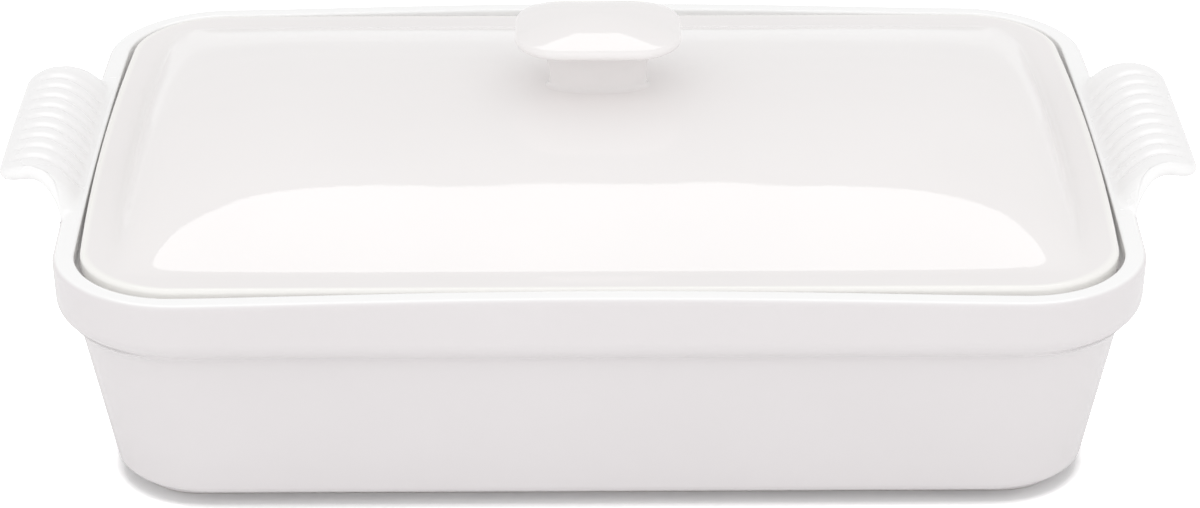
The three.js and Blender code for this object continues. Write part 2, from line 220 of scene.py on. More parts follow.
@dataclass(frozen=True)
class Glaze:
    """Thick white glaze: glossy, hand-dipped, with slow waves and a fine orange peel.

    Attributes:
        name: Name of the material.
        colour: Colour of the full coat.
        cloud: Colour where the coat is a little thinner.
        hollow_shade: Darker colour painted in hollows as shade.
        painted_light: Whiter colour painted as light where a piece's painted_light attribute is 1, on
            the rim, the handles and the lid's rolled edge.
    """

    name: str
    colour: Colour
    cloud: Colour
    hollow_shade: Colour
    painted_light: Colour
    cloud_scale: float = 14.0
    cloud_span: tuple[float, float] = (0.35, 0.7)
    hollow_shade_span: tuple[float, float] = (0.495, 0.46)
    haze_span: tuple[float, float] = (0.3, 0.7)
    smooth: float = 0.02
    dull: float = 0.06
    wave_scale: float = 26.0
    wave_height: float = 0.00022
    peel_scale: float = 420.0
    peel_height: float = 0.0000045
    index: float = 1.5

    def material(self) -> bpy.types.Material:
        """Makes the glaze's material."""
        bench = NodeBench(self.name)
        place = bench.add("ShaderNodeTexCoord").outputs["Object"]
        shape = bench.add("ShaderNodeNewGeometry").outputs["Pointiness"]
        clouds = bench.noise(place, self.cloud_scale, 3.0).outputs["Fac"]
        # Painted shade: hollows, found by pointiness, take a darker colour.
        hollow = bench.spread(shape, (*self.hollow_shade_span, 0.0, 1.0))
        cloudy = bench.spread(clouds, (*self.cloud_span, 0.0, 1.0))
        coat = bench.blend(cloudy, self.colour, self.cloud)
        coat = bench.blend(hollow, coat, self.hollow_shade)
        # Painted light: a whiter colour laid over the rim, the handles and the lid's rolled edge.
        painted_light_share = bench.add("ShaderNodeAttribute", attribute_name=PAINTED_LIGHT).outputs["Fac"]
        bench.link(bench.blend(painted_light_share, coat, self.painted_light), bench.shader.inputs["Base Color"])
        haze = bench.noise(place, self.cloud_scale * 3.0, 4.0).outputs["Fac"]
        gloss = bench.spread(haze, (*self.haze_span, self.smooth, self.dull))
        bench.link(gloss, bench.shader.inputs["Roughness"])
        waves = bench.noise(place, self.wave_scale, 1.0).outputs["Fac"]
        peel = bench.noise(place, self.peel_scale, 1.0).outputs["Fac"]
        bent = bench.bump(waves, self.wave_height, None)
        bench.link(bench.bump(peel, self.peel_height, bent), bench.shader.inputs["Normal"])
        bench.shader.inputs["IOR"].default_value = self.index
        return bench.material


@dataclass(frozen=True)
class BareClay:
    """Unglazed ground clay under the foot: matt, with grit.

    Attributes:
        name: Name of the material.
        colour: Colour of the fired clay.
        grit: Colour of the grains in it.
    """

    name: str
    colour: Colour
    grit: Colour
    grit_scale: float = 700.0
    grit_span: tuple[float, float] = (0.55, 0.75)
    roughness: float = 0.8
    grain_height: float = 0.00006

    def material(self) -> bpy.types.Material:
        """Makes the clay's material."""
        bench = NodeBench(self.name)
        place = bench.add("ShaderNodeTexCoord").outputs["Object"]
        grains = bench.noise(place, self.grit_scale, 4.0).outputs["Fac"]
        specks = bench.spread(grains, (*self.grit_span, 0.0, 1.0))
        bench.link(bench.blend(specks, self.colour, self.grit), bench.shader.inputs["Base Color"])
        bench.link(bench.bump(grains, self.grain_height, None), bench.shader.inputs["Normal"])
        bench.shader.inputs["Roughness"].default_value = self.roughness
        return bench.material


@dataclass(frozen=True)
class Plan:
    """A rectangle with rounded corners seen from above, in millimetres.

    Attributes:
        half_length: Half of its length, along X.
        half_depth: Half of its depth, along Y.
        corner: Reach of a corner's arc along Y.
        corner_run: Reach of a corner's arc along X, where it differs.
    """

    half_length: float
    half_depth: float
    corner: float
    corner_run: float | None = None

    def run(self) -> float:
        """Reach of a corner's arc along X."""
        return self.corner if self.corner_run is None else self.corner_run

    def inset(self, by: float, corner: float) -> Plan:
        """The rectangle this far inside, with a corner radius of its own."""
        return Plan(self.half_length - by, self.half_depth - by, corner)

    def scaled(self, share: float) -> Plan:
        """The rectangle at this share of its size."""
        return Plan(
            self.half_length * share, self.half_depth * share, self.corner * share, self.run() * share
        )

    def towards(self, other: Plan, share: float) -> Plan:
        """The rectangle at this share of the way to another one."""
        return Plan(
            mix(self.half_length, other.half_length, share),
            mix(self.half_depth, other.half_depth, share),
            mix(self.corner, other.corner, share),
            mix(self.run(), other.run(), share),
        )


@dataclass(frozen=True)
class EndBow:
    """How the short sides of a rectangle bow out, in millimetres.

    Attributes:
        reach: Bow in the middle of a short side.
        half_length: Half of the rectangle's length before it is bowed.
        half_depth: Half of its depth.
    """

    reach: float
    half_length: float
    half_depth: float

    def moved(self, x: float, y: float) -> float:
        """Place along X of a point of the rectangle after it is bowed."""
        across = 1 - (y / self.half_depth) ** 2
        share = math.copysign((x / self.half_length) ** 2, x)
        return x + self.reach * across * share


@dataclass(frozen=True)
class Perimeter:
    """Steps round a rounded rectangle, the same for every ring of a piece."""

    corner_steps: int
    long_steps: int
    short_steps: int

    def count(self) -> int:
        """Number of points in a ring."""
        return 4 * self.corner_steps + 2 * self.long_steps + 2 * self.short_steps

    def points(self, plan: Plan) -> list[tuple[float, float]]:
        """Points of a rounded rectangle, counter-clockwise from above.

        Args:
            plan: The rectangle.

        Returns:
            The points, from the start of the corner at +X and +Y.
        """
        run = min(plan.run(), plan.half_length)
        corner = min(plan.corner, plan.half_depth)
        across = plan.half_length - run
        along = plan.half_depth - corner
        centres = ((across, along), (-across, along), (-across, -along), (across, -along))
        points: list[tuple[float, float]] = []
        for quarter, (x, y) in enumerate(centres):
            for step in range(self.corner_steps):
                angle = (quarter + step / self.corner_steps) * QUARTER_TURN
                points.append((x + run * math.cos(angle), y + corner * math.sin(angle)))
            turned = (quarter + 1) * QUARTER_TURN
            end_x, end_y = centres[(quarter + 1) % len(centres)]
            steps = self.long_steps if quarter % 2 == 0 else self.short_steps
            for step in range(steps):
                points.append(
                    (
                        mix(x, end_x, step / steps) + run * math.cos(turned),
                        mix(y, end_y, step / steps) + corner * math.sin(turned),
                    )
                )
        return points


@dataclass(frozen=True)
class ProfilePoint:
    """A point of a profile: how far inside the outline, how high, and its corner radius.

    Attributes:
        inset: Distance inside the outline.
        height: Height above the table.
        corner: Corner radius of the ring there.
        round: Radius of the fillet at this point, 0 for none.
        steps: Steps round that fillet.
    """

    inset: float
    height: float
    corner: float
    round: float = 0.0
    steps: int = 8

    def at(self) -> Vector:
        """Place in the profile's own plane."""
        return Vector((self.inset, self.height))

    def moved(self, place: Vector) -> ProfilePoint:
        """The same point at another place of the profile's plane."""
        return replace(self, inset=place.x, height=place.y)


def rounded(profile: Sequence[ProfilePoint]) -> list[ProfilePoint]:
    """Replaces each point that has a round by a fillet, limited by the sides that it joins.

    Args:
        profile: Points of the profile, in order.

    Returns:
        The profile with its fillets.
    """
    result: list[ProfilePoint] = []
    for index, point in enumerate(profile):
        if not point.round:
            result.append(point)
            continue
        back = profile[index - 1].at() - point.at()
        ahead = profile[index + 1].at() - point.at()
        half = back.angle(ahead) / 2
        room = min(back.length, ahead.length) / 2
        reach = min(point.round / math.tan(half), room)
        first = back.normalized()
        second = ahead.normalized()
        centre = point.at() + (first + second).normalized() * (reach / math.cos(half))
        spoke = point.at() + first * reach - centre
        sweep = math.copysign(math.pi - 2 * half, -first.cross(second))
        for step in range(point.steps + 1):
            turn = Matrix.Rotation(sweep * step / point.steps, 2)
            result.append(point.moved(centre + turn @ spoke))
    return result


def supported(profile: Sequence[ProfilePoint], margin: float) -> list[ProfilePoint]:
    """Adds points near both ends of each long straight, which keep its shading flat.

    Args:
        profile: Points of the profile, in order.
        margin: Distance of the added points from the ends.

    Returns:
        The profile with the added points.
    """
    result = [profile[0]]
    for before, after in zip(profile, profile[1:]):
        run = (after.at() - before.at()).length
        if run > 4 * margin:
            for share in (margin / run, 0.5, 1 - margin / run):
                place = before.at().lerp(after.at(), share)
                added = replace(before.moved(place), corner=mix(before.corner, after.corner, share))
                result.append(added)
        result.append(after)
    return result


class RingLoft:
    """A closed skin, extruded ring by ring from a circle."""

    def __init__(self, sides: int) -> None:
        """Starts a loft whose rings have this many points."""
        self.mesh = bmesh.new()
        self.painted_light = self.mesh.verts.layers.float.new(PAINTED_LIGHT)
        self.sides = sides
        self.ring: list[Vert] = []

    def extend(self, points: Sequence[Vector], painted_light: float = 0.0) -> None:
        """Adds a ring: the first one is a circle put in place, and later ones are extruded.

        Args:
            points: Places of the ring's points, in millimetres.
            painted_light: Share of painted light on the ring, a whiter colour for the light that
                falls there.
        """
        if not self.ring:
            start = bmesh.ops.create_circle(self.mesh, radius=1.0, segments=self.sides)
            self.ring = list(start["verts"])
        else:
            pairs = zip(self.ring, self.ring[1:] + self.ring[:1])
            edges = [self.mesh.edges.get(pair) for pair in pairs]
            grown = bmesh.ops.extrude_edge_only(self.mesh, edges=edges)["geom"]
            fresh = {item for item in grown if isinstance(item, Vert)}
            self.ring = [self.follower(vert, fresh) for vert in self.ring]
        for vert, point in zip(self.ring, points):
            vert.co = point * MM
            vert[self.painted_light] = painted_light

    @staticmethod
    def follower(vert: Vert, fresh: set[Vert]) -> Vert:
        """The fresh point that was extruded from this one."""
        others = (edge.other_vert(vert) for edge in vert.link_edges)
        return next(other for other in others if other in fresh)

    def close(self) -> None:
        """Fills the two open ends, turns the faces outwards and shades them smooth."""
        rim = [edge for edge in self.mesh.edges if edge.is_boundary]
        bmesh.ops.holes_fill(self.mesh, edges=rim, sides=0)
        bmesh.ops.recalc_face_normals(self.mesh, faces=self.mesh.faces[:])
        for face in self.mesh.faces:
            face.smooth = True

    def sharpen(self, is_sharp: Callable[[bmesh.types.BMEdge], bool]) -> None:
        """Marks the edges that the shading breaks at."""
        for edge in self.mesh.edges:
            if is_sharp(edge):
                edge.smooth = False

    def piece(self, name: str, materials: Iterable[bpy.types.Material]) -> bpy.types.Object:
        """Ends the loft as an object.

        Args:
            name: Name of the piece.
            materials: Its materials, in the order of the faces' numbers.

        Returns:
            The object, at the origin.
        """
        data = bpy.data.meshes.new(name)
        self.mesh.to_mesh(data)
        self.mesh.free()
        for material in materials:
            data.materials.append(material)
        made = bpy.data.objects.new(name, data)
        bpy.context.scene.collection.objects.link(made)
        return made


def settle(piece: bpy.types.Object, body: Body, node: str) -> None:
    """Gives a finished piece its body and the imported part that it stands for.

    Args:
        piece: The finished piece.
        body: What it rides on.
        node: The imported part.
    """
    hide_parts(node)
    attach(piece, body.value)
    LOG.info("%s: %d faces, rides on %s", piece.name, len(piece.data.polygons), body.value)


@dataclass
class DishBody:
    """The dish: foot, drafted wall, collar, rim, ledge for the lid, and the hollow."""

    glaze: Glaze
    clay: BareClay
    node: str = "dish_body"
    rim_corner: float = 37.0
    end_bow: float = 2.4
    rim_width: float = 6.4
    rim_outer_round: float = 1.6
    rim_inner_round: float = 0.8
    rim_rise: float = 2.0
    rim_rise_power: float = 1.5
    collar_height: float = 16.0
    collar_taper: float = 0.5
    collar_round: float = 8.0
    shoulder_height: float = 4.6
    shoulder_step: float = 5.6
    shoulder_round: float = 8.0
    ledge_drop: float = 5.0
    ledge_width: float = 7.6
    ledge_round: float = 1.2
    draft_degrees: float = 10.6
    wall: float = 6.8
    base_round: float = 10.0
    base_corner: float = 28.0
    floor: float = 6.8
    floor_round: float = 14.0
    floor_corner: float = 20.0
    foot_height: float = 3.2
    foot_step: float = 7.2
    foot_width: float = 9.0
    foot_recess: float = 1.6
    foot_round: float = 0.7
    foot_corner: float = 17.0
    bare_height: float = 0.25
    painted_light_above_ledge: float = 0.1
    painted_light_start: float = 0.2
    painted_light_full: float = 1.2
    steps: Perimeter = Perimeter(corner_steps=18, long_steps=48, short_steps=24)
    plan: Plan = field(init=False)
    bow: EndBow = field(init=False)
    rim_top: float = field(init=False)

    def __post_init__(self) -> None:
        """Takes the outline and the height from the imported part."""
        _, high = cad_box(self.node)
        self.plan = Plan(high.x - self.end_bow, high.y, self.rim_corner)
        self.bow = EndBow(self.end_bow, self.plan.half_length, self.plan.half_depth)
        self.rim_top = high.z - self.rim_rise

    def rise(self, x: float, height: float) -> float:
        """How far the rim stands above its ends.

        Args:
            x: Place along the dish.
            height: Height on the profile.

        Returns:
            The rise in millimetres.
        """
        straight = self.plan.half_length - self.rim_corner
        along = min(abs(x) / straight, 1.0)
        share = smoothstep(height, self.rim_top - self.ledge_drop, self.rim_top)
        return self.rim_rise * share * (1 - along**2) ** self.rim_rise_power

    def face(self, place: float) -> float:
        """Distance of the rim's end face from the middle of the dish, at a place along it."""
        return self.bow.moved(self.plan.half_length, place)

    def rim_painted_light(self, point: ProfilePoint) -> float:
        """Share of painted light on the rim, down to the ledge: a whiter colour for the light on its
        top.
        """
        if point.height < self.rim_top - self.ledge_drop + self.painted_light_above_ledge:
            return 0.0
        return smoothstep(point.inset, self.painted_light_start, self.painted_light_full)

    def profile(self) -> list[ProfilePoint]:
        """Half section of the dish, from under the foot over the rim to the floor inside."""
        draft = math.tan(math.radians(self.draft_degrees))
        collar_foot = self.rim_top - self.collar_height
        shoulder = collar_foot - self.shoulder_height
        wall_top = self.collar_taper + self.shoulder_step
        base = wall_top + (shoulder - self.foot_height) * draft
        foot_outer = base + self.foot_step
        foot_inner = foot_outer + self.foot_width
        ledge = self.rim_top - self.ledge_drop
        ledge_inner = self.rim_width + self.ledge_width
        floor = self.foot_height + self.floor
        floor_inset = wall_top + (shoulder - floor) * draft + self.wall
        floor_middle = floor_inset + 2 * self.floor_round

        gallery = self.rim_corner - self.rim_width
        ledge_corner = self.rim_corner - ledge_inner
        shoulder_corner = self.rim_corner - wall_top / 2
        recess_corner = self.foot_corner - self.foot_width
        edge = 5
        curve = 12
        sharp_profile = [
            ProfilePoint(foot_inner + self.foot_width, self.foot_recess, recess_corner),
            ProfilePoint(foot_inner, self.foot_recess, recess_corner, self.foot_round, edge),
            ProfilePoint(foot_inner, 0.0, recess_corner, self.foot_round, edge),
            ProfilePoint(foot_outer, 0.0, self.foot_corner, self.foot_round, edge),
            ProfilePoint(foot_outer, self.foot_height, self.foot_corner, self.foot_round, edge),
            ProfilePoint(base, self.foot_height, self.base_corner, self.base_round, curve),
            ProfilePoint(wall_top, shoulder, shoulder_corner, self.shoulder_round),
            ProfilePoint(self.collar_taper, collar_foot, self.rim_corner, self.collar_round),
            ProfilePoint(0.0, self.rim_top, self.rim_corner, self.rim_outer_round),
            ProfilePoint(self.rim_width, self.rim_top, gallery, self.rim_inner_round),
            ProfilePoint(self.rim_width, ledge, gallery, self.ledge_round, edge),
            ProfilePoint(ledge_inner, ledge, ledge_corner, self.ledge_round, edge),
            ProfilePoint(floor_inset, floor, self.floor_corner, self.floor_round, curve),
            ProfilePoint(floor_middle, floor, self.floor_corner),
        ]
        return supported(rounded(sharp_profile), margin=1.5)

    def build(self) -> bpy.types.Object:
        """Makes the dish and bares the clay of its foot ring."""
        loft = RingLoft(self.steps.count())
        for point in self.profile():
            ring = self.steps.points(self.plan.inset(point.inset, point.corner))
            heights = [point.height + self.rise(x, point.height) for x, _ in ring]
            loft.extend(
                [Vector((self.bow.moved(x, y), y, z)) for (x, y), z in zip(ring, heights)],
                self.rim_painted_light(point),
            )
        loft.close()
        bare = self.bare_height * MM
        for face in loft.mesh.faces:
            if max(vert.co.z for vert in face.verts) < bare:
                face.material_index = 1
        piece = loft.piece("dish", [self.glaze.material(), self.clay.material()])
        settle(piece, Body.DISH, self.node)
        return piece


class End(Enum):
    """The end of the dish that a handle arches out of, as its direction along X."""

    LEFT = -1.0
    RIGHT = 1.0


@dataclass
class Handle:
    """A ribbed lug: a curved slab that lands on the rim's top, arches out and ends in a round tip.

    Its section is measured out from the rim's face and up from the rim's top.
    """

    dish: DishBody
    end: End
    glaze: Glaze
    rise: float = 10.7
    crest: float = 10.0
    landing: float = 4.4
    landing_fillet: float = 1.4
    inner_edge: float = 5.3
    crest_thickness: float = 4.5
    tip_drop: float = 2.1
    tip_thickness: float = 4.3
    length: float = 80.5
    tip_radius: float = 8.0
    flare: float = 13.8
    fall_power: float = 1.8
    sink: float = 3.0
    root_drop: float = 5.0
    groove_count: int = 9
    groove_pitch: float = 7.7
    groove_depth: float = 0.8
    groove_width: float = 1.5
    groove_end: float = 17.2
    groove_fade: float = 2.5
    landing_fade: float = 2.0
    lift: float = 0.03
    buried: float = 1.0
    middle_painted_light: float = 0.8
    turn_start: float = 0.3
    top_ease: float = 1.35
    groove_steps: int = 14
    corner_steps: int = 24
    flare_steps: int = 24
    under_steps: int = 18
    tip_steps: int = 14
    top_steps: int = 46
    reach: float = field(init=False)

    def __post_init__(self) -> None:
        """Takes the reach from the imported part."""
        low, high = cad_box(self.node())
        self.reach = max(high.x, -low.x) - self.dish.face(0.0)

    def node(self) -> str:
        """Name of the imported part."""
        return f"{self.end.name.lower()}_handle"

    def stations(self) -> list[float]:
        """Places along the handle: finely over the grooves, tip corners and flares."""
        half = self.length / 2
        grooved = self.groove_count * self.groove_pitch / 2
        groove_steps = self.groove_count * self.groove_steps
        clear = 0.1
        past = [
            half - self.tip_radius * (1 - math.sin(angle))
            for angle in quarter_angles(self.corner_steps, 1)
        ]
        past += [
            half + self.flare * (1 - math.cos(angle))
            for angle in quarter_angles(self.flare_steps, 1)
        ]
        ends = [place for place in past if place > grooved + clear]
        middle = [mix(-grooved, grooved, step / groove_steps) for step in range(groove_steps + 1)]
        return [-place for place in reversed(ends)] + middle + ends

    def edge(self, distance: float) -> tuple[float, float, float]:
        """The slab's outline seen from above.

        Args:
            distance: Distance from the middle of the handle.

        Returns:
            How far out the edge lies, then its outward direction across and along the handle.
        """
        half = self.length / 2
        neck = self.reach - self.tip_radius
        if distance <= half:
            past = max(distance - half + self.tip_radius, 0.0) / self.tip_radius
            inward = math.sqrt(max(1 - past * past, 0.0))
            return neck + self.tip_radius * inward, inward, past
        along = min((distance - half) / self.flare, 1.0)
        angle = math.acos(1 - along)
        out = neck * (1 - math.sin(angle))
        across = self.flare * math.sin(angle)
        down = neck * math.cos(angle)
        size = math.hypot(across, down)
        return max(out, 2 * self.lift), across / size, down / size

    def height_share(self, distance: float) -> float:
        """Share of the arch's height that is left at a distance from the middle."""
        past = (distance - self.length / 2) / self.flare
        return 1 - min(max(past, 0.0), 1.0) ** self.fall_power

    def groove(self, place: float) -> float:
        """Depth of the grooves at a place along the handle."""
        number = round(place / self.groove_pitch)
        if abs(number) > self.groove_count // 2:
            return 0.0
        offset = (place - number * self.groove_pitch) / self.groove_width
        return self.groove_depth * math.exp(-(offset**2))

    def past_crest(self, out: float) -> float:
        """Share of the way from the crest to the tip, negative inside the crest."""
        return (out - self.crest) / (self.reach - self.tip_thickness / 2 - self.crest)

    def bare_rim(self, out: float) -> float:
        """Height of the rim that the handle lies on."""
        radius = self.dish.rim_outer_round
        past = min(max(out + radius, 0.0), radius)
        return math.sqrt(radius**2 - past**2) - radius + self.lift

    def top(self, place: float, out: float) -> float:
        """Height of the slab's top, which runs out softly on the rim.

        Args:
            place: Place along the handle.
            out: Distance out from the rim's face.

        Returns:
            The height, without the grooves.
        """
        if out < self.crest:
            ridge = self.rise * (1 - ((self.crest - out) / (self.crest + self.landing)) ** 2)
        else:
            ridge = self.rise - self.tip_drop * self.past_crest(out) ** 2
        share = self.height_share(abs(place))
        arch = mix(-self.sink, ridge, share)
        rim = self.bare_rim(out)
        overlap = max(self.landing_fillet - abs(arch - rim), 0.0) / self.landing_fillet
        return max(arch, rim) + overlap**2 * self.landing_fillet / 4

    def under(self, place: float, out: float) -> float:
        """Height of the slab's underside, which turns down into the collar."""
        crest = self.rise - self.crest_thickness
        tip = self.rise - self.tip_drop - self.tip_thickness
        if out >= self.crest:
            return mix(crest, tip, self.past_crest(out) ** 2)
        outer = self.dish.rim_outer_round
        root = -mix(outer, self.root_drop, self.height_share(abs(place)))
        short = 1 - max(out, 0.0) / self.crest
        return mix(root, crest, math.sqrt(1 - short**2))

    def ridged(self, place: float, out: float) -> tuple[float, float]:
        """A point of the slab's top with the grooves cut in.

        Args:
            place: Place along the handle.
            out: Distance out from the rim's face.

        Returns:
            How far out and how high the point lies.
        """
        step = 0.05
        slope = (self.top(place, out + step) - self.top(place, out - step)) / (2 * step)
        fade = smoothstep(self.groove_end - out, 0.0, self.groove_fade)
        fade *= smoothstep(out, -self.landing, self.landing_fade - self.landing)
        cut = self.groove(place) * fade / math.hypot(1.0, slope)
        return out + cut * slope, self.top(place, out) - cut

    def skin(self, place: float) -> list[Vector]:
        """Visible skin at a place along the handle.

        Args:
            place: Place along the handle.

        Returns:
            Points out, along and up, from the collar round the tip to the top of the rim.
        """
        edge, across, along = self.edge(abs(place))
        along = math.copysign(along, place)
        radius = min(self.tip_thickness, edge) / 2
        tip = max(edge - radius * across, self.lift)
        points = []

        def put(out: float, up: float) -> None:
            """Adds a point of the skin, moved aside where the outline turns."""
            aside = -radius * along * smoothstep(out / tip, self.turn_start, 1.0)
            points.append(Vector((out, place + aside, up)))

        for angle in quarter_angles(self.under_steps)[:-1]:
            out = tip * (1 - math.cos(angle))
            put(max(out, self.lift), self.under(place, out))
        rim = place - radius * along
        high = self.top(rim, tip)
        low = min(self.under(rim, tip), high - self.lift)
        for step in range(self.tip_steps + 1):
            angle = (2 * step / self.tip_steps - 1) * QUARTER_TURN
            inward = radius * (1 - math.cos(angle))
            level = mix(low, high, (1 + math.sin(angle)) / 2)
            points.append(Vector((edge - inward * across, place - inward * along, level)))
        for step in range(1, self.top_steps + 1):
            share = 1 - (1 - step / self.top_steps) ** self.top_ease
            put(*self.ridged(place, mix(tip, -self.inner_edge, share)))
        return points

    def section(self, place: float) -> list[Vector]:
        """Closed section at a place along the handle, its visible skin first.

        Args:
            place: Place along the handle.

        Returns:
            Points in the dish's frame, for the right end.
        """
        inner = self.buried - self.inner_edge
        points = self.skin(place)
        for out, up in (
            (inner, -self.buried),
            (inner, -self.root_drop),
            (-self.buried, -self.root_drop),
        ):
            points.append(Vector((out, place, up)))
        top = self.dish.rim_top
        return [point + Vector((self.dish.face(point.y), 0.0, top)) for point in points]

    def coat(self, place: float) -> float:
        """Share of painted light on the handle, which is full where the handle runs out into the rim.
        """
        half = self.length / 2
        ends = smoothstep(abs(place), half - self.tip_radius, half + self.flare / 2)
        return mix(self.middle_painted_light, 1.0, ends)

    def build(self) -> bpy.types.Object:
        """Makes the handle on its end of the dish."""
        stations = self.stations()
        sections = [self.section(place) for place in stations]
        loft = RingLoft(len(sections[0]))
        side = self.end.value
        for place, section in zip(stations, sections):
            ring = [Vector((p.x * side, p.y * side, p.z)) for p in section]
            # Painted light: the handle takes the whiter colour for the light on its top.
            loft.extend(ring, self.coat(place))
        loft.close()
        skin = self.under_steps + self.tip_steps + self.top_steps + 1
        seams = {0, skin - 1}
        ends = {0, len(sections) - 1}
        loft.mesh.verts.index_update()
        sides = len(sections[0])

        def is_sharp(edge: bmesh.types.BMEdge) -> bool:
            """Whether an edge lies on a seam or on an end of the handle."""
            rows, columns = zip(*(divmod(vert.index, sides) for vert in edge.verts))
            along_seam = columns[0] == columns[1] and columns[0] in seams
            return along_seam or (rows[0] == rows[1] and rows[0] in ends)

        loft.sharpen(is_sharp)
        piece = loft.piece(f"handle_{self.end.name.lower()}", [self.glaze.material()])
        settle(piece, Body.DISH, self.node())
        return piece


@dataclass
class LidShell:
    """The lid: a dome with a border, a rolled edge and bowed ends, hollow underneath."""

    glaze: Glaze
    node: str = "lid_shell"
    corner: float = 28.1
    end_bow: float = 4.0
    edge_height: float = 5.7
    edge_width: float = 6.2
    edge_round: float = 1.4
    seat_round: float = 1.2
    border: float = 9.0
    wall: float = 5.4
    end_power: float = 6.0
    end_share: float = 0.45
    brink_power: float = 24.0
    side_power: float = 2.0
    valley: float = 0.4
    bead_painted_light: float = 0.8
    even_share: float = 0.35
    dome_rings: int = 40
    dome_rise: float = 19.5
    steps: Perimeter = Perimeter(corner_steps=20, long_steps=56, short_steps=32)
    plan: Plan = field(init=False)
    bow: EndBow = field(init=False)
    seat: float = field(init=False)

    def __post_init__(self) -> None:
        """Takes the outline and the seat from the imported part."""
        low, high = cad_box(self.node)
        self.plan = Plan(high.x - self.end_bow, high.y, self.corner)
        self.bow = EndBow(self.end_bow, self.plan.half_length, self.plan.half_depth)
        self.seat = low.z

    def ring(self, plan: Plan, height: Callable[[float, float], float]) -> list[Vector]:
        """Points of a ring of the lid, moved out where its ends bow.

        Args:
            plan: Outline of the ring before it is bowed.
            height: Height of the ring at a place along and across the lid.

        Returns:
            The points.
        """
        ring = self.steps.points(plan)
        return [Vector((self.bow.moved(x, y), y, height(x, y))) for x, y in ring]

    def edge_top(self) -> float:
        """Height of the top of the rolled edge."""
        return self.seat + self.edge_height

    def top(self) -> float:
        """Height of the middle of the dome."""
        return self.edge_top() + self.dome_rise

    def dome(self, x: float, y: float) -> float:
        """Height of the dome, which runs out softly into a border inside the rolled edge.

        Args:
            x: Place along the lid.
            y: Place across the lid.

        Returns:
            The height above the table.
        """
        full = (self.dome_rise + math.sqrt(self.dome_rise**2 + 4 * self.dome_rise * self.valley)) / 2
        reach = self.plan.half_length - self.edge_round - self.border
        depth = self.plan.half_depth - self.edge_round - self.border
        along = min(abs(x) / reach, 1.0)
        end = 1 - mix(along**self.brink_power, along**self.end_power, self.end_share)
        side = 1 - min(abs(y) / depth, 1.0) ** self.side_power
        swell = full * end * side
        return self.edge_top() + swell * swell / (swell + self.valley)

    def dome_plans(self, inset: float, pad: Plan) -> list[Plan]:
        """Rings over the dome, from its edge to the pad under the knob.

        Args:
            inset: Distance of the first ring inside the lid's outline.
            pad: Outline of the pad.

        Returns:
            The rings' outlines.
        """
        outer = self.plan.inset(inset, self.corner - inset)
        shares = [step / self.dome_rings for step in range(self.dome_rings + 1)]
        eased = [
            mix(1 - math.cos(share * QUARTER_TURN), share, self.even_share) for share in shares
        ]
        return [outer.towards(pad, share) for share in eased]

    def build(self, pad: Plan) -> bpy.types.Object:
        """Makes the lid.

        Args:
            pad: Outline of the place that the knob covers.

        Returns:
            The lid's piece.
        """
        loft = RingLoft(self.steps.count())
        for plan in reversed(self.dome_plans(self.edge_width, pad)):
            loft.extend(self.ring(plan, lambda x, y: self.dome(x, y) - self.wall))
        top = self.edge_top()
        edge = [
            ProfilePoint(self.edge_width, self.seat, self.corner - self.edge_width),
            ProfilePoint(0.0, self.seat, self.corner, self.seat_round, 6),
            ProfilePoint(0.0, top, self.corner, self.edge_round, 12),
            ProfilePoint(2 * self.edge_round, top, self.corner),
        ]
        # Painted highlight: the rolled edge takes the whiter colour for the bright line along it.
        for point in rounded(edge)[:-1]:
            plan = self.plan.inset(point.inset, self.corner - point.inset)
            ring = self.ring(plan, lambda x, y, level=point.height: level)
            loft.extend(ring, self.bead_painted_light)
        for plan in self.dome_plans(self.edge_round, pad)[1:]:
            loft.extend(self.ring(plan, self.dome))
        loft.close()
        piece = loft.piece("lid", [self.glaze.material()])
        settle(piece, Body.LID, self.node)
        return piece


